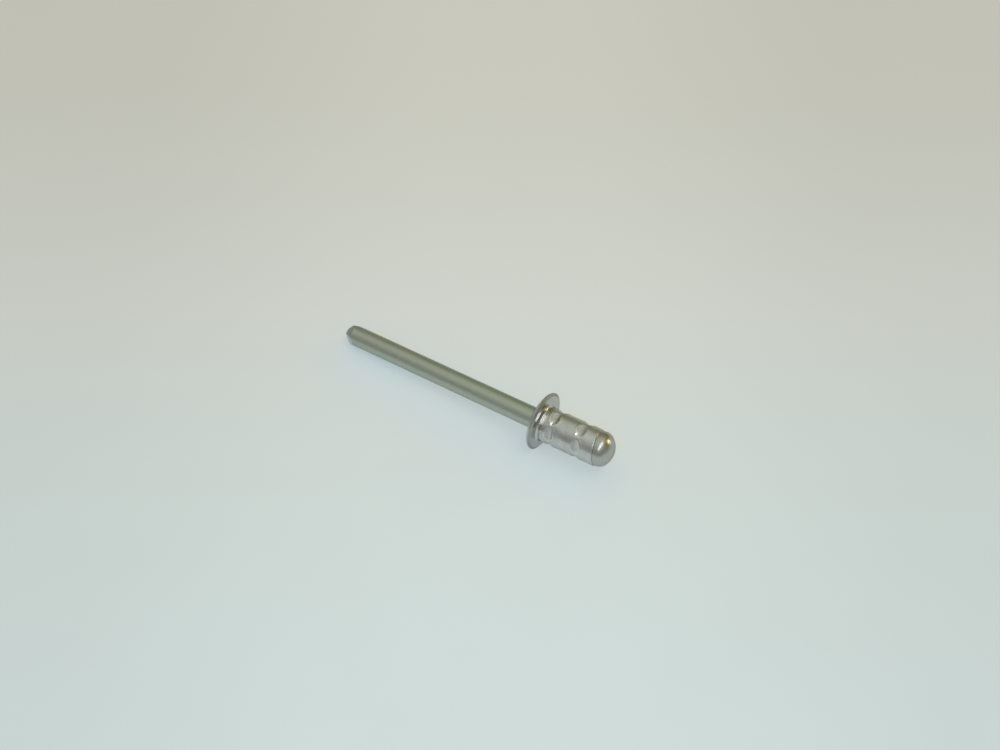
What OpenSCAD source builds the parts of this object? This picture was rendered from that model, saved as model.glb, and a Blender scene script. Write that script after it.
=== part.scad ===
// Blind rivet ("pop" rivet), multi-grip pattern, unset.
// Two pieces: a flanged aluminium sleeve and the steel mandrel that runs through it.
// The sleeve is crimped onto the mandrel by two rings of dents, and the
// mandrel's domed head closes the sleeve's end. The rivet lies the way it rests on
// a table: on the rim of its flange and on the cut end of the mandrel.

/* [Sleeve] */
// Outside diameter of the sleeve, the rivet's nominal size
body_d = 4.8; // [4.6:0.1:5.2]
// Length of the sleeve, from the flange's bearing face to the seam under the mandrel head
body_len = 8.1; // [7.6:0.1:12]
// Outside diameter of the flange
flange_d = 8; // [7.4:0.02:9.6]
// Thickness of the flange's edge
flange_edge = 0.26; // [0.26:0.02:0.5]
// Width of the bevel between this edge and the bearing face
flange_bevel = 0.38; // [0.1:0.02:0.38]
// Height of the flange's rounded back above that edge
flange_crown = 1.25; // [0.9:0.05:1.6]
// Radius that rounds the flange's back into its edge
flange_round = 0.34; // [0.3:0.02:0.8]
// How far the flange sits off the sleeve's axis: its heavy side hangs down, so it sits above the axis
flange_off = 0.3; // [0.15:0.01:0.32]
// Fillet between the flange's bearing face and the sleeve
neck_fillet = 0.3; // [0.1:0.02:0.54]
// Width of the small bevel around the sleeve's end
end_bevel = 0.12; // [0.06:0.02:0.2]

/* [Crimp dents] */
// Dents in each ring
dents = 6; // [4:1:6]
// Distance from the bearing face to the first ring
ring_1 = 1.75; // [1.6:0.05:2.4]
// Distance from the bearing face to the second ring
ring_2 = 5.7; // [5.2:0.05:6.3]
// Depth of each dent below the sleeve's surface
dent_depth = 0.2; // [0.15:0.01:0.32]
// Radius of the die that pressed the dents
dent_r = 1.1; // [0.4:0.05:1.1]
// Slant of each dent against a true ring
dent_slant = 5; // [0:1:30]
// Turn of the first ring about the axis
ring_1_turn = 4; // [-30:1:30]
// Turn of the second ring about the axis
ring_2_turn = 4; // [-30:1:60]

/* [Mandrel] */
// Diameter of the mandrel's stem
stem_d = 2.84; // [2.6:0.02:3]
// Length of the stem, from the flange's bearing face to its cut tip
stem_len = 33; // [27:0.05:36]
// Diameter of the head that bears on the sleeve's end
head_d = 4.66; // [4.3:0.02:4.7]
// Height of the head's plain edge
head_edge = 0.36; // [0.2:0.02:0.8]
// Height of the dome above that edge
head_dome = 1.78; // [1.5:0.02:2.2]
// Radius that rounds the dome into its edge
head_round = 1.42; // [1.1:0.02:1.45]
// Tilt of the head and of the seam under it, as it was pressed a little askew
head_skew = 9; // [0:1:10]
// Diameter left at the notch where the stem breaks when the rivet is set
notch_d = 2.1; // [1.6:0.05:2.4]
// Distance from the seam back to the notch
notch_back = 1.1; // [0.9:0.05:1.5]

// Swell of the stem's radius inside the sleeve, towards the head that was upset from it
stem_swell = 0.01; // [0.005:0.005:0.01]

/* [Fit] */
// Gap all round between the stem and the bore of the sleeve
bore_gap = 0.05; // [0.04:0.01:0.1]
// Gap left between the stem and the pads that the dents raise inside the bore
pad_gap = 0.01; // [0.01:0.005:0.02]

/* [Hidden] */
$fn = 96;
e = 0.01;
// How far the flange's bevel reaches back from the bearing face: it slopes 32 degrees
bevel_back = flange_bevel * tan(32);
// Small bevel that breaks the sharp edge of the head
edge_break = 0.06;
body_r = body_d / 2;
flange_r = flange_d / 2;
stem_r = stem_d / 2;
head_r = head_d / 2;
bore_r = stem_r + bore_gap;
// Direction, about the axis, in which the head leans: 0 is up, 90 is towards -Y
lean = -55;
// The stem's pinched-off tip: each facet is [direction about the axis, slope against the axis, length]
facets = [[93, 30, 1.4], [-82, 33.5, 1.8], [21.5, 35, 1.2], [202, 45, 1.13]];
// Lowest points of the flange and of the stem give the angle at which the rivet rests
flange_low = flange_r - flange_off;
foot_x = stem_len - 1.03;
rest_tilt = atan((flange_low - stem_r) / (foot_x - flange_edge));
// The stem is a true cylinder to just short of the flange's back
free_end = flange_edge + flange_crown + 0.2;
// Length of the die: just past the ends of its dent
die_len = 2 * (sqrt(2 * body_r * dent_depth) / cos(dent_slant) + 0.15);
// Height of the axis above the table, where it crosses the bearing face
axis_z = flange_low * cos(rest_tilt) + flange_edge * sin(rest_tilt);
// Half way from the tip to the top of the dome, along the table
top_x = body_len + head_edge + head_dome;
mid_x = (top_x - stem_len) / 2 * cos(rest_tilt);

// Puts a piece that is built along +Z, with its bearing face at 0, into its resting place
module rest() {
    translate([-mid_x, 0, axis_z]) rotate([0, 90 - rest_tilt, 0]) children();
}

// Turns something built on +X to the direction a about the axis
module at(a) {
    rotate([0, 0, 180 + a]) children();
}

// Tips the end of the sleeve and the head about the centre of the seam
module skewed() {
    translate([0, 0, body_len]) at(lean) rotate([0, head_skew, 0]) children();
}

// Half section of a low dome on radius r and height h, rounded with radius k at its edge.
// The edge's arc is set in by a hair, so that it crosses the dome's arc instead of just touching it.
module cap_section(r, h, k) {
    x = r - k;
    c = (x * x - (h - k) * (h - k)) / (2 * (h - k));
    intersection() {
        translate([0, -c]) circle(r = h + c, $fn = 240);
        polygon([[0, 0], [x, 0], [4 * x, 3 * c], [0, 3 * c + h]]);
    }
    intersection() {
        translate([x - e, 0]) circle(r = k + e);
        translate([x - e, 0]) square([k + 1, h]);
    }
}

// The die that presses one dent into the top of the sleeve
module die() {
    at(0) translate([body_r + dent_r - dent_depth, 0, 0])
        rotate([dent_slant - 90, 0, 0]) cylinder(r = dent_r, h = die_len, center = true);
}

// The whole pattern of dents, or of the pads behind them
module each_dent() {
    for (i = [0 : dents - 1]) {
        a = i * 360 / dents;
        translate([0, 0, ring_1]) rotate([0, 0, ring_1_turn + a]) children();
        translate([0, 0, ring_2]) rotate([0, 0, ring_2_turn + a]) children();
    }
}

module sleeve_blank() {
    // flange, a little off centre
    at(0) translate([flange_off, 0, 0]) rotate_extrude() {
        translate([0, -flange_edge]) mirror([0, 1]) cap_section(flange_r, flange_crown, flange_round);
        polygon([[0, -flange_edge], [flange_r, -flange_edge], [flange_r, -bevel_back],
                 [flange_r - flange_bevel, 0], [0, 0]]);
    }
    // body
    translate([0, 0, -flange_edge]) cylinder(r = body_r, h = body_len + flange_edge + 1);
    // fillet under the flange
    rotate_extrude() difference() {
        translate([0, -e]) square([body_r + neck_fillet, neck_fillet + e]);
        translate([body_r + neck_fillet, neck_fillet]) circle(r = neck_fillet);
    }
}

module sleeve() {
    color([0.78, 0.79, 0.76]) rest() {
        difference() {
            sleeve_blank();
            // bore for the mandrel
            translate([0, 0, -flange_edge - flange_crown - 1])
                cylinder(r = bore_r, h = body_len + flange_crown + 4);
            // end of the sleeve, with its bevel
            skewed() rotate_extrude()
                polygon([[0, 0], [body_r - end_bevel, 0], [body_r + 0.08, -end_bevel - 0.08],
                         [body_r + 3, -end_bevel - 0.08], [body_r + 3, 3], [0, 3]]);
            // crimp dents
            each_dent() die();
        }
        // pads raised inside the bore, behind each dent
        difference() {
            intersection() {
                cylinder(r = bore_r + 0.1, h = body_len - 1);
                each_dent() at(0) translate([bore_r + 0.05, 0, 0])
                    rotate([dent_slant - 90, 0, 0]) cylinder(r = 0.35, h = 1.1, center = true);
            }
            translate([0, 0, -1]) cylinder(r = stem_r + stem_swell + pad_gap, h = body_len + 2);
        }
    }
}

module mandrel() {
    color([0.52, 0.53, 0.47]) rest() {
        // stem, with the breaking notch and the facets of its cut tip
        difference() {
            union() {
                translate([0, 0, -stem_len]) cylinder(r = stem_r, h = stem_len - free_end);
                translate([0, 0, -free_end]) cylinder(r1 = stem_r, r2 = stem_r + stem_swell, h = free_end + body_len + 0.6);
            }
            translate([0, 0, body_len - notch_back]) rotate_extrude()
                polygon([[notch_d / 2, -0.05], [stem_r + 0.2, -0.5], [stem_r + 0.2, 0.5], [notch_d / 2, 0.05]]);
            for (f = facets)
                at(f[0]) translate([stem_r, 0, -stem_len + f[2]]) rotate([0, f[1], 0])
                    translate([0, -4, -8]) cube([8, 8, 8]);
        }
        // domed head
        skewed() rotate_extrude() {
            translate([0, head_edge]) cap_section(head_r, head_dome, head_round);
            polygon([[0, 0], [head_r - edge_break, 0], [head_r, edge_break], [head_r, head_edge], [0, head_edge]]);
        }
    }
}

sleeve();
mandrel();
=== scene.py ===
import bpy
import math
import numpy as np
from mathutils import Matrix


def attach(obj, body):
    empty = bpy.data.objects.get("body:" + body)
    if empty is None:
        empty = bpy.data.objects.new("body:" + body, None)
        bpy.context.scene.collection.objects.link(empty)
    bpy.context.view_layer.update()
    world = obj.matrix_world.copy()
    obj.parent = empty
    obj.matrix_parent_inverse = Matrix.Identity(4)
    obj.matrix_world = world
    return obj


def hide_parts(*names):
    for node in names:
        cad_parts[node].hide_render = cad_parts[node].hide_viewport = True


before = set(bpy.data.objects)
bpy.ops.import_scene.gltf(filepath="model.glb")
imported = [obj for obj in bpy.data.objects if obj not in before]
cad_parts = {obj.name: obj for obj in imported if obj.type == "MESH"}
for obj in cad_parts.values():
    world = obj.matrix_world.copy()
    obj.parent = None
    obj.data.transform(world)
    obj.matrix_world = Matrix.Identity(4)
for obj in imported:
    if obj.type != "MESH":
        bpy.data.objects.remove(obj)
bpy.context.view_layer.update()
MM = 0.001

# ---------------------------------------------------------------- sizes, in mm, as in the CAD part
BODY_R, BODY_LEN = 2.4, 8.1
FLANGE_R, FLANGE_EDGE, FLANGE_BEVEL, CROWN, FLANGE_ROUND, FLANGE_OFF = 4.0, 0.26, 0.38, 1.25, 0.34, 0.3
FILLET = 0.3
STEM_R, STEM_LEN = 1.42, 33.0
BORE_R = STEM_R + 0.05
HEAD_R, HEAD_EDGE, HEAD_DOME, HEAD_ROUND, SKEW = 2.33, 0.36, 1.78, 1.42, math.radians(9)
NOTCH_R, NOTCH_BACK = 1.05, 1.1
DENTS, RINGS = 6, ((1.75, 4.0), (5.7, 4.0))
DENT_DEPTH, DENT_R, SLANT = 0.2, 1.1, math.radians(5)
LEAN = math.radians(-55)
FACETS = ((93, 30, 1.4), (-82, 33.5, 1.8), (21.5, 35, 1.2), (202, 45, 1.13))

FLANGE_LOW = FLANGE_R - FLANGE_OFF
TILT = math.atan((FLANGE_LOW - STEM_R) / (STEM_LEN - 1.03 - FLANGE_EDGE))
AXIS_Z = FLANGE_LOW * math.cos(TILT) + FLANGE_EDGE * math.sin(TILT)
MID_X = (BODY_LEN + HEAD_EDGE + HEAD_DOME - STEM_LEN) / 2 * math.cos(TILT)

# The rivet's own frame: u runs along the axis towards the head, psi turns about it (0 is up, 90 is towards -Y).
ORIGIN = np.array([-MID_X, 0.0, AXIS_Z])
AXIS = np.array([math.cos(TILT), 0.0, math.sin(TILT)])
UP = np.array([-math.sin(TILT), 0.0, math.cos(TILT)])
SIDE = np.array([0.0, -1.0, 0.0])


def place(u, x, y):
    """Row-frame points, in mm, of axial place u and the radial parts x (along psi 0) and y (along psi 90)."""
    return ORIGIN + u[..., None] * AXIS + x[..., None] * UP + y[..., None] * SIDE


# ---------------------------------------------------------------- camera
CAM_AZ, CAM_EL = math.radians(33.22), math.radians(50.77)
back = np.array([math.sin(CAM_AZ) * math.cos(CAM_EL), -math.cos(CAM_AZ) * math.cos(CAM_EL), math.sin(CAM_EL)])
right = np.array([math.cos(CAM_AZ), math.sin(CAM_AZ), 0.0])
up_cam = np.cross(back, right)
cam_data = bpy.data.cameras.new("camera")
cam_data.sensor_width = 36.0
cam_data.lens = 43.2
cam_data.clip_start, cam_data.clip_end = 0.01, 20.0
cam = bpy.data.objects.new("camera", cam_data)
bpy.context.scene.collection.objects.link(cam)
bpy.context.scene.camera = cam
cam_mm = ORIGIN - 0.10 * AXIS - 5.901 * right + 6.336 * up_cam + 158.143 * back
cam.rotation_mode = "QUATERNION"
cam.matrix_world = Matrix((
    (right[0], up_cam[0], back[0], cam_mm[0] * MM),
    (right[1], up_cam[1], back[1], cam_mm[1] * MM),
    (right[2], up_cam[2], back[2], cam_mm[2] * MM),
    (0, 0, 0, 1)))


# ---------------------------------------------------------------- small tools
def smooth(t):
    t = np.clip(t, 0.0, 1.0)
    return t * t * (3 - 2 * t)


def soft_max0(d, e):
    """max(d, 0) with a rounded corner of about e."""
    return 0.5 * (d + np.sqrt(d * d + e * e))


def waves(x, y, z, scale, seed, n=14):
    """Smooth, repeatable unevenness of about unit size: a sum of plane waves, near `scale` mm long."""
    r = np.random.default_rng(seed)
    out = np.zeros(np.broadcast(x, y, z).shape)
    for _ in range(n):
        d = r.normal(size=3)
        d /= np.linalg.norm(d)
        k = 2 * math.pi / (scale * r.uniform(0.7, 1.5))
        out += np.sin(k * (d[0] * x + d[1] * y + d[2] * z) + r.uniform(0, 2 * math.pi))
    return out / math.sqrt(n / 2)


def grid_mesh(name, points, closed_rows=False, cap_first=None, cap_last=None):
    """A mesh from rows of points that close round the axis. The rows either close on themselves, or each end closes in a fan."""
    rows, cols = points.shape[:2]
    verts = points.reshape(-1, 3) * MM
    extra = []
    i = np.arange(rows - 1 + (1 if closed_rows else 0))[:, None]
    j = np.arange(cols)[None, :]
    i2, j2 = (i + 1) % rows, (j + 1) % cols
    quads = np.stack(np.broadcast_arrays(i * cols + j, i * cols + j2, i2 * cols + j2, i2 * cols + j), -1).reshape(-1, 4)
    faces = quads.tolist()
    n = len(verts)
    if cap_first is not None:
        extra.append(cap_first * MM)
        faces += [[n, (k + 1) % cols, k] for k in range(cols)]
        n += 1
    if cap_last is not None:
        extra.append(cap_last * MM)
        base = (rows - 1) * cols
        faces += [[n, base + k, base + (k + 1) % cols] for k in range(cols)]
    if extra:
        verts = np.vstack([verts, np.array(extra)])
    mesh = bpy.data.meshes.new(name)
    mesh.from_pydata(verts.tolist(), [], faces)
    mesh.validate()
    mesh.shade_smooth()
    mesh.update()
    obj = bpy.data.objects.new(name, mesh)
    bpy.context.scene.collection.objects.link(obj)
    return obj


# ---------------------------------------------------------------- the sleeve
def dent_cut(u, psi):
    """How deep the dents cut below the body's surface, in mm; negative outside them, falling away from their edges."""
    best = np.full(np.broadcast(u, psi).shape, -9.0)
    rc = BODY_R + DENT_R - DENT_DEPTH
    for u0, turn in RINGS:
        for k in range(DENTS):
            c = math.radians(turn + 360.0 * k / DENTS)
            # in the dent's own frame: x out of the surface, y round the axis, z along it
            d = (psi - c + math.pi) % (2 * math.pi) - math.pi
            dx, dy = np.cos(d), np.sin(d)
            w = u - u0
            ay, az = math.cos(SLANT), math.sin(SLANT)
            da = dy * ay
            wx, wz = -rc, w
            wa = wz * az
            A = 1 - da * da
            B = dx * wx - da * wa
            C = wx * wx + wz * wz - wa * wa - DENT_R ** 2
            disc = B * B - A * C
            near = (dx > 0.5) & (np.abs(w) < 2.2)
            r_in = np.where(disc > 0, (-B - np.sqrt(np.maximum(disc, 0))) / A, 9.0)
            # outside the die: fall away with the distance from it
            off = np.sqrt(np.maximum(C + DENT_R ** 2 + 2 * B * BODY_R + A * BODY_R ** 2, 0)) - DENT_R
            cut = np.where((disc > 0) & (r_in < BODY_R + 0.2), BODY_R - r_in, -off)
            cut = np.where(disc > 0, np.maximum(cut, -off), -off)
            best = np.where(near, np.maximum(best, cut), best)
    return best


def knocks(seed, n, u_range, size, depth):
    """Places, sizes and depths of small random dings."""
    r = np.random.default_rng(seed)
    return [(r.uniform(*u_range), r.uniform(-math.pi, math.pi), r.uniform(*size), r.uniform(*depth), r.uniform(0, math.pi), r.uniform(1.0, 3.0))
            for _ in range(n)]


def ding_depth(u, psi, rho, dings):
    """Depth of those dings, in mm, at surface places (u, rho * psi). Each is a soft, slanted, longish dimple."""
    out = np.zeros(np.broadcast(u, psi, rho).shape)
    for u0, p0, size, depth, turn, longer in dings:
        d = (psi - p0 + math.pi) % (2 * math.pi) - math.pi
        a, b = (u - u0), d * rho
        x = (a * math.cos(turn) + b * math.sin(turn)) / (size * longer)
        y = (-a * math.sin(turn) + b * math.cos(turn)) / size
        out += depth * np.exp(-(x * x + y * y) * 2.0)
    return out


def cap_arcs(r, h, k):
    """Centre depth and radius of the dome's main arc, and the angle at which it meets the edge's arc."""
    x = r - k
    c = (x * x - (h - k) ** 2) / (2 * (h - k))
    return x, c, h + c, math.degrees(math.atan2(c, x))


SL_COLS = 260
psi = np.linspace(-math.pi, math.pi, SL_COLS, endpoint=False)
fx, fc, fR, fa = cap_arcs(FLANGE_R, CROWN, FLANGE_ROUND)

# half section of the flange and neck, (u, rho) in mm: bore mouth, back, rim, bearing face, fillet
RIM_ROUND = 0.03
MOUTH_ROUND = 0.10
mouth_u = -FLANGE_EDGE - (math.sqrt(fR ** 2 - (BORE_R + MOUTH_ROUND) ** 2) - fc)


def turn(a, b, n):
    """Cosines and sines of n steps from a to b degrees, without the first."""
    t = np.radians(np.linspace(a, b, n)[1:])
    return zip(np.cos(t), np.sin(t))


sec = [(mouth_u + MOUTH_ROUND * (1 - c), BORE_R + MOUTH_ROUND * (1 - s)) for c, s in turn(-12, 90, 9)]
sec += [(-FLANGE_EDGE - (fR * c - fc), fR * s) for c, s in turn(math.degrees(math.asin((BORE_R + MOUTH_ROUND) / fR)), 90 - fa, 34)]
sec += [(-FLANGE_EDGE - FLANGE_ROUND * s, fx + FLANGE_ROUND * c) for c, s in turn(fa, 0, 20)]
# the bevelled edge: the bevel slopes 32 degrees against the bearing face and is a little rounded at both sides
LEAN_IN = 58
BACK = FLANGE_BEVEL * math.tan(math.radians(90 - LEAN_IN))
IN_1, IN_2 = RIM_ROUND * math.tan(math.radians(LEAN_IN / 2)), RIM_ROUND * math.tan(math.radians(45 - LEAN_IN / 2))
sec += [(-BACK - IN_1 + RIM_ROUND * s, FLANGE_R - RIM_ROUND + RIM_ROUND * c) for c, s in turn(0, LEAN_IN, 6)]
to = [(-RIM_ROUND + RIM_ROUND * s, FLANGE_R - FLANGE_BEVEL - IN_2 + RIM_ROUND * c) for c, s in turn(LEAN_IN, 90, 5)]
start, stop = np.array(sec[-1]), np.array([-RIM_ROUND * (1 - math.sin(math.radians(LEAN_IN))), FLANGE_R - FLANGE_BEVEL - IN_2 + RIM_ROUND * math.cos(math.radians(LEAN_IN))])
sec += [tuple(start + t * (stop - start)) for t in np.linspace(0, 1, 9)[1:]] + to
sec += [(0.0, r_) for r_ in np.linspace(FLANGE_R - FLANGE_BEVEL - IN_2, BODY_R + FILLET, 18)[1:]]
sec += [(FILLET - FILLET * s, BODY_R + FILLET - FILLET * c) for c, s in turn(90, 0, 22)]
sec = np.array(sec)
n_flange = len(sec)
U = np.repeat(sec[:, :1], SL_COLS, 1)
R = np.repeat(sec[:, 1:], SL_COLS, 1)

# body rows, from the fillet to the end's bevel; the last stretch leans over to the askew end
body_u = np.concatenate([np.linspace(FILLET, 3.0, 78)[1:], np.linspace(3.0, 4.35, 16)[1:],
                         np.linspace(4.35, 7.05, 68)[1:], np.linspace(7.05, BODY_LEN - 0.14, 20)[1:]])
P = psi[None, :]
stretch = np.clip((body_u - 6.0) / (BODY_LEN - 0.14 - 6.0), 0, 1)[:, None]
end_shift = -BODY_R * np.cos(P - LEAN) * math.tan(SKEW)
Ub = body_u[:, None] + stretch * end_shift
Rb = np.full_like(Ub, BODY_R)
cut = dent_cut(Ub, P)
SOFT = 0.035
press = soft_max0(cut, SOFT) - 0.5 * (np.sqrt(cut * cut + SOFT * SOFT) - np.abs(cut)) * (cut < 0)
lip = 0.022 * np.exp(-((cut + 0.11) / 0.085) ** 2)
worn = ding_depth(Ub, P, BODY_R, knocks(3, 90, (0.4, 8.0), (0.05, 0.22), (0.002, 0.010)))
# small nicks where the die bit at the corners between dents; round each, the metal is painted bright as a glint, a
# painted highlight
nicks = [(1.74, 27, 0.22, 0.072), (5.38, 24.5, 0.17, 0.058), (1.75, -38, 0.16, 0.018), (5.70, -38, 0.16, 0.018), (5.6, 142, 0.16, 0.018), (1.7, -98, 0.16, 0.018), (5.7, -158, 0.16, 0.018)]
worn = worn + ding_depth(Ub, P, BODY_R, [(u_, math.radians(a_), w_, d_, math.pi / 2, 1.6) for u_, a_, w_, d_ in nicks])
x3, y3 = BODY_R * np.cos(P), BODY_R * np.sin(P)
uneven = 0.004 * waves(Ub, x3, y3, 2.2, 5) + 0.0016 * waves(Ub, x3, y3, 0.7, 6)
Rb = Rb - press + lip - worn + uneven * smooth((Ub - FILLET) / 0.5)
# end: bevel, then the end face down to the bore
BEVEL, BEVEL_LEN = 0.10, 0.13
end_rows = [(-BEVEL_LEN + BEVEL_LEN * s, BODY_R - BEVEL + BEVEL * c) for c, s in turn(0, 90, 9)]
end_rows += [(0.0, r_) for r_ in np.linspace(BODY_R - BEVEL, BORE_R, 6)[1:]]
end_rows = np.array(end_rows)
Ue = BODY_LEN + end_rows[:, :1] - end_rows[:, 1:] * np.cos(P - LEAN) * math.tan(SKEW)
Re = end_rows[:, 1:] + 0 * Ue
# bore, back to the flange's mouth, with the pads that the dents raise
bore_u = np.concatenate([np.linspace(7.6, 7.0, 3), np.linspace(6.9, 4.4, 26), np.linspace(4.2, 3.1, 5), np.linspace(2.95, 0.4, 26), np.linspace(0.1, mouth_u + 0.3, 5)])
Ui = bore_u[:, None] + 0 * P
pad = 0.03 * smooth((dent_cut(Ui, P) - 0.05) / 0.15)
Ri = BORE_R - pad
U = np.vstack([U, Ub, Ue, Ui])
R = np.vstack([R, Rb, Re, Ri])
X, Y = R * np.cos(P), R * np.sin(P)
# the flange sits off centre; its shift fades out along the bearing face and towards the bore mouth
w = np.zeros(U.shape[0])
w[:n_flange] = np.where(sec[:, 0] < -0.001, smooth((sec[:, 1] - BORE_R - 0.1) / 0.7), smooth((sec[:, 1] - BODY_R - FILLET) / 0.5))
rim_row = (sec[:, 1] > FLANGE_R - 0.9)
w[:n_flange][rim_row] = 1.0
X = X + FLANGE_OFF * w[:, None]
# flange: slight unevenness
fl = np.zeros_like(U)
fl[:n_flange] = (0.004 * waves(U[:n_flange], X[:n_flange], Y[:n_flange], 2.5, 8) + 0.0015 * waves(U[:n_flange], X[:n_flange], Y[:n_flange], 0.8, 9))
U = U + fl * (smooth((R - BODY_R - 0.3) / 0.4)) * (np.arange(U.shape[0]) < n_flange)[:, None] * 0.6
sleeve = grid_mesh("sleeve_finished", place(U, X, Y), closed_rows=True)
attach(sleeve, "root")
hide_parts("sleeve")

# ---------------------------------------------------------------- the mandrel
MN_COLS = 180
psi_m = np.linspace(-math.pi, math.pi, MN_COLS, endpoint=False)
PM = psi_m[None, :]


def tip_radius(u, psi, shares=False):
    """Radius of the stem at its cut tip: the facets, with their edges a little rounded. Also how far each place belongs to the stem and to each facet."""
    e = 0.02
    z = u + STEM_LEN
    vals = [np.full(np.broadcast(u, psi).shape, STEM_R)]
    for a, slope, length in FACETS:
        d = psi - math.radians(a)
        c = np.cos(d)
        lim = STEM_R - (length - z) * math.tan(math.radians(slope))
        vals.append(np.where(c > 0.05, lim / np.maximum(c, 0.05), 9.0))
    vals = np.stack(vals)
    m = vals.min(0)
    part = np.exp(-(vals - m) / e)
    if shares:
        return part / part.sum(0)
    return m - e * np.log(part.sum(0))


stem_u = np.concatenate([np.linspace(-STEM_LEN + 0.02, -STEM_LEN + 2.3, 90), np.linspace(-STEM_LEN + 2.3, -1.8, 170)[1:],
                         np.linspace(-1.8, 6.5, 30)[1:]])
Us = stem_u[:, None] + 0 * PM
Rs = tip_radius(Us, PM)
lines = 0.0
rl = np.random.default_rng(21)
for _ in range(26):
    k = rl.integers(7, 60)
    drift = rl.uniform(-0.02, 0.02)
    lines = lines + np.sin(k * PM + rl.uniform(0, 6.28) + drift * k * Us / 6) / (k ** 0.5)
lines = 0.0016 * lines
lump = 0.0030 * waves(Us * 0.35, STEM_R * np.cos(PM), STEM_R * np.sin(PM), 1.6, 31)
stem_dings = ding_depth(Us, PM, STEM_R, knocks(13, 70, (-30.8, -1.5), (0.05, 0.16), (0.002, 0.008)))
open_part = smooth((-1.2 - Us) / 0.4)
Rs = Rs + (lines + lump - stem_dings) * open_part
# end face, from its centre outwards
first = Rs[0]
Uf = np.full((4, MN_COLS), -STEM_LEN)
frac = np.array([0.25, 0.5, 0.75, 0.93])[:, None]
Rf = first[None, :] * frac
Rf[-1] = first - 0.02
Uf = Uf + 0.012 * waves(Uf, Rf * np.cos(PM), Rf * np.sin(PM), 0.5, 41)
# notch, then on to the seam
nu = BODY_LEN - NOTCH_BACK
notch = [(nu - 0.5, STEM_R), (nu - 0.25, (STEM_R + NOTCH_R) / 2), (nu - 0.05, NOTCH_R), (nu + 0.05, NOTCH_R), (nu + 0.25, (STEM_R + NOTCH_R) / 2), (nu + 0.45, STEM_R), (nu + 0.5, STEM_R)]
Un = np.array([n_[0] for n_ in notch])[:, None] + 0 * PM
Rn = np.array([n_[1] for n_ in notch])[:, None] + 0 * PM
Xm = [np.vstack([Rf, Rs, Rn]) * np.cos(PM)]
Ym = [np.vstack([Rf, Rs, Rn]) * np.sin(PM)]
Um = [np.vstack([Uf, Us, Un])]
# head, in its own askew frame about the seam's centre
hx, hc_, hR, ha = cap_arcs(HEAD_R, HEAD_DOME, HEAD_ROUND)
hs = []
for r_ in np.linspace(STEM_R, HEAD_R - 0.07, 6):
    hs.append((0.0, r_))
for t in np.linspace(90, 0, 7)[1:]:
    hs.append((0.07 - 0.07 * math.sin(math.radians(t)), HEAD_R - 0.07 + 0.07 * math.cos(math.radians(t))))
for z in np.linspace(0.07, HEAD_EDGE, 5)[1:]:
    hs.append((z, HEAD_R))
for t in np.linspace(0, ha, 34)[1:]:
    hs.append((HEAD_EDGE + HEAD_ROUND * math.sin(math.radians(t)), hx + HEAD_ROUND * math.cos(math.radians(t))))
for t in np.linspace(90 - ha, 1.2, 18)[1:]:
    hs.append((HEAD_EDGE + hR * math.cos(math.radians(t)) - hc_, hR * math.sin(math.radians(t))))
hs = np.array(hs)
hu = hs[:, :1] + 0 * PM
hr = hs[:, 1:] + 0 * PM
hxx, hyy = hr * np.cos(PM), hr * np.sin(PM)
bump = 0.0030 * waves(hu, hxx, hyy, 1.9, 51) + 0.0004 * waves(hu, hxx, hyy, 0.6, 52)
hu = hu - np.abs(bump) * smooth((hu - 0.3) / 0.5)
# the head's frame: its axis leans towards LEAN
dl = np.array([math.cos(LEAN), math.sin(LEAN)])
dn = np.array([-math.sin(LEAN), math.cos(LEAN)])
along = hxx * dl[0] + hyy * dl[1]
across = hxx * dn[0] + hyy * dn[1]
u_h = BODY_LEN + hu * math.cos(SKEW) - along * math.sin(SKEW)
al2 = along * math.cos(SKEW) + hu * math.sin(SKEW)
x_h = al2 * dl[0] + across * dn[0]
y_h = al2 * dl[1] + across * dn[1]
Um.append(u_h); Xm.append(x_h); Ym.append(y_h)
Um, Xm, Ym = np.vstack(Um), np.vstack(Xm), np.vstack(Ym)
apex_h = HEAD_EDGE + HEAD_DOME
apex = ORIGIN + (BODY_LEN + apex_h * math.cos(SKEW)) * AXIS + apex_h * math.sin(SKEW) * (dl[0] * UP + dl[1] * SIDE)
tail = ORIGIN - STEM_LEN * AXIS
mandrel = grid_mesh("mandrel_finished", place(Um, Xm, Ym), cap_first=tail, cap_last=apex)
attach(mandrel, "root")
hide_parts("mandrel")


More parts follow.
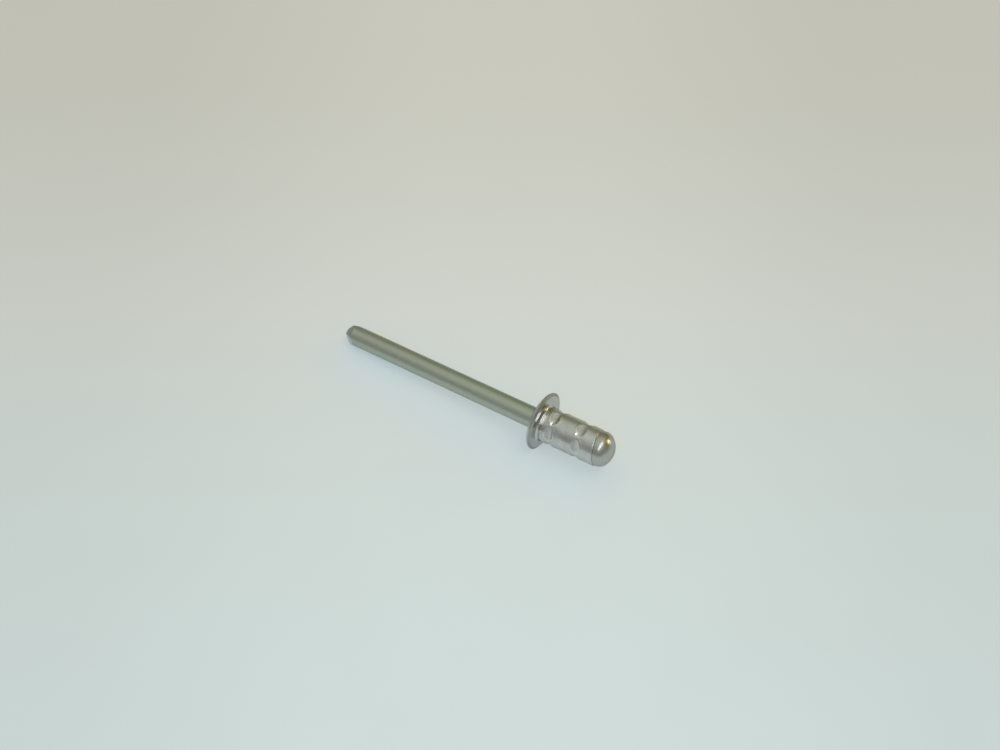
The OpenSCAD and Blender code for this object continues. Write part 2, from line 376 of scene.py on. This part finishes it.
# ---------------------------------------------------------------- materials
class Tree:
    """A short way to build shader nodes."""

    def __init__(self, name):
        self.mat = bpy.data.materials.new(name)
        self.mat.use_nodes = True
        self.t = self.mat.node_tree
        self.t.nodes.clear()
        self.out = self.t.nodes.new("ShaderNodeOutputMaterial")
        self.bsdf = self.t.nodes.new("ShaderNodeBsdfPrincipled")
        self.t.links.new(self.bsdf.outputs[0], self.out.inputs[0])

    def node(self, kind, **values):
        n = self.t.nodes.new("ShaderNode" + kind)
        for k, v in values.items():
            setattr(n, k, v)
        return n

    def put(self, socket, value):
        if isinstance(value, bpy.types.NodeSocket):
            self.t.links.new(value, socket)
        else:
            socket.default_value = value

    def coords(self, scale=(1, 1, 1), turn=(0.0, 0.0, 0.0), shift=(0.0, 0.0, 0.0)):
        """Places in mm, turned so that X runs along the rivet's axis, then scaled."""
        if not hasattr(self, "axial"):
            tc = self.node("TexCoord")
            m = self.node("Mapping")
            self.put(m.inputs["Vector"], tc.outputs["Object"])
            self.put(m.inputs["Scale"], (1000, 1000, 1000))
            self.put(m.inputs["Rotation"], (0, TILT, 0))
            self.put(m.inputs["Location"], (0, 0, -(AXIS_Z * math.cos(TILT) + MID_X * math.sin(TILT))))
            self.axial = m.outputs[0]
        m = self.node("Mapping")
        self.put(m.inputs["Vector"], self.axial)
        self.put(m.inputs["Rotation"], turn)
        self.put(m.inputs["Location"], shift)
        m2 = self.node("Mapping")
        self.put(m2.inputs["Vector"], m.outputs[0])
        self.put(m2.inputs["Scale"], scale)
        return m2.outputs[0]

    def noise(self, vector, scale, detail=3.0, rough=0.55):
        n = self.node("TexNoise")
        self.put(n.inputs["Vector"], vector)
        self.put(n.inputs["Scale"], scale)
        self.put(n.inputs["Detail"], detail)
        self.put(n.inputs["Roughness"], rough)
        return n.outputs["Fac"]

    def ramp(self, fac, lo, hi, a=0.0, b=1.0):
        n = self.node("MapRange", clamp=True)
        self.put(n.inputs["Value"], fac)
        for k, v in zip(("From Min", "From Max", "To Min", "To Max"), (lo, hi, a, b)):
            self.put(n.inputs[k], v)
        return n.outputs[0]

    def math(self, op, a, b=0.0, clamp=False):
        n = self.node("Math", operation=op, use_clamp=clamp)
        self.put(n.inputs[0], a)
        self.put(n.inputs[1], b)
        return n.outputs[0]

    def mix(self, fac, a, b):
        n = self.node("Mix", data_type="RGBA")
        self.put(n.inputs["Factor"], fac)
        self.put(n.inputs[6], (*a, 1) if isinstance(a, tuple) else a)
        self.put(n.inputs[7], (*b, 1) if isinstance(b, tuple) else b)
        return n.outputs[2]

    def attr(self, name):
        return self.node("Attribute", attribute_name=name).outputs["Fac"]

    def bump(self, height, mm, normal=None, strength=1.0):
        n = self.node("Bump")
        self.put(n.inputs["Height"], height)
        self.put(n.inputs["Distance"], mm * MM)
        self.put(n.inputs["Strength"], strength)
        if normal is not None:
            self.put(n.inputs["Normal"], normal)
        return n.outputs[0]

    def scratches(self, turn, seed, length=9.0, fine=1.0, width=0.02):
        """Sparse thin lines along one direction: 0 between them, up to 1 on them."""
        v = self.coords((1.0 / length, fine, fine), turn, (seed * 3.1, seed * 1.7, seed * 0.9))
        a = self.noise(v, 9.0, 1.0, 0.4)
        line = self.math("ABSOLUTE", self.math("SUBTRACT", a, 0.5))
        return self.ramp(line, 0.0, width, 1.0, 0.0)


def attribute(obj, name, values):
    a = obj.data.attributes.new(name, "FLOAT", "POINT")
    a.data.foreach_set("value", np.asarray(values, dtype=np.float32).ravel())


# how far each place of the sleeve is pressed in, and where its edges are rubbed bright
pressed = np.zeros_like(U)
edges = np.zeros_like(U)
nb = n_flange + len(body_u)
pressed[n_flange:nb] = smooth(cut / 0.1)
edges[n_flange:nb] = np.exp(-((cut + 0.01) / 0.04) ** 2)
attribute(sleeve, "pressed", pressed)
attribute(sleeve, "edges", edges)
# painted highlights: bright glint spots round the nicks
painted_glint = np.zeros_like(U)
painted_glint[n_flange:nb] = np.clip(ding_depth(Ub, P, BODY_R, [(u_, math.radians(a_), 1.3 * w_, 1.3, math.pi / 2, 1.6) for u_, a_, w_, d_ in nicks]), 0, 1)
attribute(sleeve, "painted_glint", painted_glint)
# the flange's bevelled rim, painted darker
rim_darkened = np.zeros_like(U)
rim_darkened[:n_flange] = (smooth((R[:n_flange] - 3.60) / 0.06) * smooth((U[:n_flange] + BACK + 0.06) / 0.05))
attribute(sleeve, "rim_darkened", rim_darkened)
# the neck and the bearing face beside it are the smoothest places
neck = smooth((0.95 - U) / 0.25) * smooth((R - 2.2) / 0.1) * smooth((U + 0.06) / 0.05)
neck[nb:nb + len(end_rows)] = 0.6
attribute(sleeve, "neck", neck)
tip_cut = np.zeros_like(Um)
n_f, n_s = len(Rf), len(Us)
tip_cut[:n_f] = 1.0
tip_parts = tip_radius(Us, PM, shares=True)
tip_cut[n_f:n_f + n_s] = 1.0 - tip_parts[0]
clean_cut_and_reflection = np.zeros_like(Um)
# the clean cut's bright colour, partly its own and partly a painted reflection of the paper, runs a little way past its
# edge
a_, slope_, length_ = FACETS[0]
past = Rs * np.cos(PM - math.radians(a_)) - (STEM_R - (length_ - (Us + STEM_LEN)) * math.tan(math.radians(slope_)))
clean_cut_and_reflection[n_f:n_f + n_s] = np.maximum(tip_parts[1], tip_parts[0] * smooth((past + 0.14) / 0.06))
on_head = np.zeros_like(Um)
on_head[-len(hs):] = 1.0
attribute(mandrel, "tip_cut", np.append(tip_cut.ravel(), [1.0, 0.0]))
attribute(mandrel, "clean_cut_and_reflection", np.append(clean_cut_and_reflection.ravel(), [0.0, 0.0]))
attribute(mandrel, "on_head", np.append(on_head.ravel(), [0.0, 1.0]))

# aluminium sleeve
m = Tree("aluminium_drawn")
body = m.coords()
cloud = m.noise(body, 0.9, 4.0)
grain = m.noise(body, 9.0, 4.0, 0.6)
scr = m.math("MAXIMUM", m.scratches((0.3, 0.5, 0.9), 1), m.math("MAXIMUM", m.scratches((1.2, -0.4, 2.1), 2), m.scratches((0.0, 0.2, 0.05), 3, 14.0)))
col = m.mix(m.ramp(cloud, 0.35, 0.7), (0.55, 0.55, 0.53), (0.66, 0.66, 0.64))
col = m.mix(m.math("MULTIPLY", m.attr("edges"), 0.45), col, (0.84, 0.84, 0.82))
# painted highlight: the glint spots round the nicks
col = m.mix(m.attr("painted_glint"), col, (0.95, 0.95, 0.94))
# the flange's bevelled rim, painted darker
col = m.mix(m.math("MULTIPLY", m.attr("rim_darkened"), 0.8), col, (0.33, 0.33, 0.31))
m.put(m.bsdf.inputs["Base Color"], col)
m.put(m.bsdf.inputs["Metallic"], 1.0)
m.put(m.bsdf.inputs["Specular Tint"], (0.68, 0.68, 0.67, 1))
ro = m.ramp(grain, 0.3, 0.75, 0.20, 0.34)
ro = m.math("ADD", ro, m.math("MULTIPLY", scr, 0.08))
ro = m.math("SUBTRACT", ro, m.math("MULTIPLY", m.attr("pressed"), 0.04))
ro = m.math("SUBTRACT", ro, m.math("MULTIPLY", m.attr("neck"), 0.15))
ro = m.math("SUBTRACT", ro, m.math("MULTIPLY", m.attr("edges"), 0.08))
ro = m.math("SUBTRACT", ro, m.math("MULTIPLY", m.attr("painted_glint"), 0.08))
m.put(m.bsdf.inputs["Roughness"], ro)
nrm = m.bump(m.noise(body, 3.0, 3.0), 0.010)
nrm = m.bump(grain, 0.0025, nrm)
nrm = m.bump(m.math("SUBTRACT", 1.0, scr), 0.0015, nrm)
m.put(m.bsdf.inputs["Normal"], nrm)
sleeve.data.materials.append(m.mat)

# steel mandrel
m = Tree("steel_wire")
body = m.coords()
streak = m.noise(m.coords((0.12, 1.0, 1.0)), 14.0, 4.0, 0.6)
fine = m.noise(m.coords((0.05, 1.0, 1.0)), 45.0, 2.0, 0.5)
cloud = m.noise(m.coords((0.3, 1.0, 1.0)), 1.2, 3.0)
cut_ = m.attr("tip_cut")
head_ = m.attr("on_head")
col = m.mix(m.ramp(streak, 0.3, 0.7), (0.42, 0.46, 0.38), (0.52, 0.56, 0.48))
col = m.mix(m.ramp(cloud, 0.35, 0.75, 0.0, 0.5), col, (0.49, 0.50, 0.48))
col = m.mix(m.math("MULTIPLY", head_, 0.8), col, (0.50, 0.50, 0.47))
# the tip: torn and dull on most facets, a clean bright cut on one, whose bluish brightness is partly a painted
# reflection of the paper
torn = m.ramp(m.noise(body, 5.0, 4.0), 0.4, 0.6)
col = m.mix(cut_, col, m.mix(torn, (0.32, 0.34, 0.35), (0.50, 0.53, 0.54)))
col = m.mix(m.attr("clean_cut_and_reflection"), col, m.mix(torn, (0.60, 0.70, 0.76), (0.72, 0.82, 0.88)))
m.put(m.bsdf.inputs["Base Color"], col)
m.put(m.bsdf.inputs["Metallic"], 1.0)
m.put(m.bsdf.inputs["Specular Tint"], (0.68, 0.68, 0.67, 1))
ro = m.ramp(streak, 0.3, 0.7, 0.34, 0.46)
ro = m.math("SUBTRACT", ro, m.math("MULTIPLY", head_, 0.11))
m.put(m.bsdf.inputs["Roughness"], ro)
nrm = m.bump(streak, 0.004)
nrm = m.bump(fine, 0.0015, nrm)
nrm = m.bump(m.noise(body, 7.0, 4.0, 0.6), 0.0025, nrm)
m.put(m.bsdf.inputs["Normal"], nrm)
mandrel.data.materials.append(m.mat)

# ---------------------------------------------------------------- floor
floor_mesh = bpy.data.meshes.new("floor")
s_ = 3.0
floor_mesh.from_pydata([(-s_, -s_, 0), (s_, -s_, 0), (s_, s_, 0), (-s_, s_, 0)], [], [(0, 1, 2, 3)])
floor = bpy.data.objects.new("floor", floor_mesh)
bpy.context.scene.collection.objects.link(floor)
# paper: a painted light falloff, a little warmer and darker towards the far side, with the faint unevenness of a plain
# sheet
FLOOR_NEAR, FLOOR_FAR = (0.620, 0.695, 0.698), (0.550, 0.560, 0.508)
FLOOR_GLOW, FLOOR_ALBEDO = 0.55, 0.62
m = Tree("paper")
tc = m.node("TexCoord").outputs["Object"]
sep_f = m.node("SeparateXYZ")
m.put(sep_f.inputs[0], tc)
along_view = m.math("ADD", m.math("MULTIPLY", sep_f.outputs["X"], -math.sin(CAM_AZ)), m.math("MULTIPLY", sep_f.outputs["Y"], math.cos(CAM_AZ)))
fade = m.node("MapRange", interpolation_type="SMOOTHSTEP")
m.put(fade.inputs["Value"], along_view)
for k_, v_ in zip(("From Min", "From Max", "To Min", "To Max"), (-0.055, 0.085, 0.0, 1.0)):
    m.put(fade.inputs[k_], v_)
tone = m.mix(fade.outputs[0], FLOOR_NEAR, FLOOR_FAR)
soft = m.node("Mapping")
m.put(soft.inputs["Vector"], tc)
m.put(soft.inputs["Scale"], (1000, 1000, 1000))
tone = m.mix(m.ramp(m.noise(soft.outputs[0], 0.06, 2.0, 0.5), 0.3, 0.7, 0.0, 0.06), tone, (0.50, 0.52, 0.52))
# a faint pool of brighter light down the middle
across_view = m.math("ADD", m.math("MULTIPLY", sep_f.outputs["X"], math.cos(CAM_AZ)), m.math("MULTIPLY", sep_f.outputs["Y"], math.sin(CAM_AZ)))
pool = m.node("MapRange", interpolation_type="SMOOTHSTEP")
m.put(pool.inputs["Value"], m.math("ABSOLUTE", m.math("SUBTRACT", across_view, 0.004)))
for k_, v_ in zip(("From Min", "From Max", "To Min", "To Max"), (0.008, 0.066, 1.09, 1.0)):
    m.put(pool.inputs[k_], v_)
lit = m.node("VectorMath", operation="SCALE")
m.put(lit.inputs[0], tone)
m.put(lit.inputs["Scale"], pool.outputs[0])
tone = lit.outputs[0]


def band(value, *ends):
    """A soft step: the map range that takes value from the first two of ends to the last two."""
    r = m.node("MapRange", interpolation_type="SMOOTHSTEP")
    m.put(r.inputs["Value"], value)
    for k, v in zip(("From Min", "From Max", "To Min", "To Max"), ends):
        m.put(r.inputs[k], v)
    return r.outputs[0]


def tinted(colour, amount, tint):
    """That colour, times the tint where the amount is 1."""
    by = m.node("VectorMath", operation="MULTIPLY")
    m.put(by.inputs[0], colour)
    m.put(by.inputs[1], m.mix(amount, (1.0, 1.0, 1.0), tint))
    return by.outputs[0]


# painted light on the paper: pinker towards the far side, a painted bluish shadow just in front of the rivet and by its
# tip, and a painted warm glow of reflected light behind it
px, py = sep_f.outputs["X"], sep_f.outputs["Y"]
along = m.math("ABSOLUTE", px)
# painted light: pinker towards the far side
tone = tinted(tone, band(along_view, -0.030, 0.022, 0.0, 1.0), (1.055, 1.015, 1.005))
# painted shadow: bluish just in front of the rivet
near_painted_shadow = m.math("MULTIPLY", band(m.math("ABSOLUTE", m.math("ADD", py, 0.0020)), 0.001, 0.0095, 1.0, 0.0), band(along, 0.017, 0.027, 1.0, 0.0))
tone = tinted(tone, near_painted_shadow, (0.965, 1.0, 1.05))
# painted shadow: bluish by the tip
tip_painted_shadow = m.math("MULTIPLY", band(px, -0.024, -0.019, 0.0, 1.0), band(px, -0.013, -0.005, 1.0, 0.0))
tone = tinted(tone, m.math("MULTIPLY", tip_painted_shadow, band(m.math("ABSOLUTE", m.math("ADD", py, 0.0012)), 0.0, 0.0035, 1.0, 0.0)), (0.94, 1.0, 1.02))
# painted reflected light: a warm glow behind the rivet
reach = m.math("DIVIDE", py, band(px, 0.006, 0.013, 0.0042, 0.0078))
painted_warm_glow = m.math("MULTIPLY", m.math("MULTIPLY", band(reach, 0.5, 1.0, 1.0, 0.0), band(py, 0.0008, 0.0030, 0.0, 1.0)), band(along, 0.018, 0.0215, 1.0, 0.0))
tone = tinted(tone, painted_warm_glow, (1.07, 1.01, 0.86))
# the paper also glows: a painted fill light that lifts its shadows, cooler than its lit colour so those shadows read
# bluish
shade = m.node("VectorMath", operation="SCALE")
m.put(shade.inputs[0], tone)
m.put(shade.inputs["Scale"], FLOOR_ALBEDO)
warmer = m.node("VectorMath", operation="MULTIPLY")
m.put(warmer.inputs[0], shade.outputs[0])
m.put(warmer.inputs[1], (1.03, 1.0, 0.93))
m.put(m.bsdf.inputs["Base Color"], warmer.outputs[0])
cooler = m.node("VectorMath", operation="MULTIPLY")
m.put(cooler.inputs[0], tone)
m.put(cooler.inputs[1], (0.97, 1.0, 1.07))
m.put(m.bsdf.inputs["Emission Color"], cooler.outputs[0])
m.put(m.bsdf.inputs["Emission Strength"], FLOOR_GLOW)
m.put(m.bsdf.inputs["Roughness"], 0.9)
m.put(m.bsdf.inputs["Specular IOR Level"], 0.1)
floor.data.materials.append(m.mat)

# ---------------------------------------------------------------- light
scene = bpy.context.scene
scene.view_settings.view_transform = "Standard"
scene.view_settings.look = "None"


def toward(azimuth, elevation):
    """The unit vector of a direction. Azimuth is measured as for the camera: 0 is -Y, 90 is +X."""
    a, e = math.radians(azimuth), math.radians(elevation)
    return np.array([math.sin(a) * math.cos(e), -math.cos(a) * math.cos(e), math.sin(e)])


# a soft studio: bright overhead, dimmer towards the walls, with a few broad soft patches
HORIZON, ZENITH = (0.31, 0.32, 0.30), (0.60, 0.64, 0.57)
PATCHES = (  # azimuth, elevation, inner and outer radius in degrees, colour added
    (-165, 22, 10, 55, (-0.05, -0.05, -0.10)),
    (150, 10, 10, 60, (0.005, -0.03, -0.125)),
    (-95, 64, 8, 35, (0.05, 0.04, 0.04)),
    (128, 36, 8, 30, (-0.11, -0.12, -0.13)),
)
world = bpy.data.worlds.new("studio")
scene.world = world
world.use_nodes = True
wt = world.node_tree
wt.nodes.clear()


def wnode(kind, **values):
    n = wt.nodes.new("ShaderNode" + kind)
    for k, v in values.items():
        setattr(n, k, v)
    return n


sky = wnode("TexCoord").outputs["Generated"]
sep = wnode("SeparateXYZ")
wt.links.new(sky, sep.inputs[0])
up_part = wnode("MapRange", interpolation_type="SMOOTHSTEP")
wt.links.new(sep.outputs["Z"], up_part.inputs["Value"])
up_part.inputs["From Min"].default_value = 0.40
up_part.inputs["From Max"].default_value = 0.95
grad = wnode("Mix", data_type="RGBA")
wt.links.new(up_part.outputs[0], grad.inputs["Factor"])
grad.inputs[6].default_value = (*HORIZON, 1)
grad.inputs[7].default_value = (*ZENITH, 1)
total = grad.outputs[2]
for az_, el_, r_in, r_out, colour in PATCHES:
    dot = wnode("VectorMath", operation="DOT_PRODUCT")
    wt.links.new(sky, dot.inputs[0])
    dot.inputs[1].default_value = tuple(toward(az_, el_))
    fall = wnode("MapRange", interpolation_type="SMOOTHSTEP")
    wt.links.new(dot.outputs["Value"], fall.inputs["Value"])
    fall.inputs["From Min"].default_value = math.cos(math.radians(r_out))
    fall.inputs["From Max"].default_value = math.cos(math.radians(r_in))
    scaled = wnode("VectorMath", operation="SCALE")
    scaled.inputs[0].default_value = colour
    wt.links.new(fall.outputs[0], scaled.inputs["Scale"])
    add = wnode("VectorMath", operation="ADD")
    wt.links.new(total, add.inputs[0])
    wt.links.new(scaled.outputs[0], add.inputs[1])
    total = add.outputs[0]
w_out = wnode("OutputWorld")
w_bg = wnode("Background")
w_bg.inputs["Strength"].default_value = 1.0
wt.links.new(total, w_bg.inputs["Color"])
w_plain = wnode("Background")
w_plain.inputs["Color"].default_value = (0.60, 0.62, 0.59, 1)
w_mix = wnode("MixShader")
wt.links.new(wnode("LightPath").outputs["Is Camera Ray"], w_mix.inputs[0])
wt.links.new(w_bg.outputs[0], w_mix.inputs[1])
wt.links.new(w_plain.outputs[0], w_mix.inputs[2])
wt.links.new(w_mix.outputs[0], w_out.inputs[0])


def lamp(name, place_m, target_m, size, size_y, radiance, colour, roll_to=(0.0, 1.0, 0.0)):
    """A rectangular area light at one point that faces another. Its long side size_y runs along roll_to."""
    data = bpy.data.lights.new(name, "AREA")
    data.shape = "RECTANGLE"
    data.size, data.size_y = size, size_y
    data.energy = radiance * math.pi * size * size_y
    data.color = colour
    obj = bpy.data.objects.new(name, data)
    scene.collection.objects.link(obj)
    p = np.array(place_m, float)
    z = p - np.array(target_m, float)
    z /= np.linalg.norm(z)
    y = np.array(roll_to, float)
    y -= y.dot(z) * z
    y /= np.linalg.norm(y)
    x = np.cross(y, z)
    obj.matrix_world = Matrix(((x[0], y[0], z[0], p[0]), (x[1], y[1], z[1], p[1]), (x[2], y[2], z[2], p[2]), (0, 0, 0, 1)))
    obj.visible_camera = False
    return obj


lamp("strip", (0.36, -0.42, 1.0), (0.36, -0.42, 0.0), 0.20, 1.25, 3.3, (0.98, 1.0, 1.03))
lamp("strip_far", (0.36, 0.80, 1.0), (0.36, 0.80, 0.0), 0.20, 1.10, 0.2, (1.0, 0.90, 0.70))
lamp("warm", tuple(1.0 * toward(138, 15)), (0, 0, 0), 0.12, 0.26, 9.0, (1.0, 0.84, 0.46), roll_to=(0, 0, 1.0))
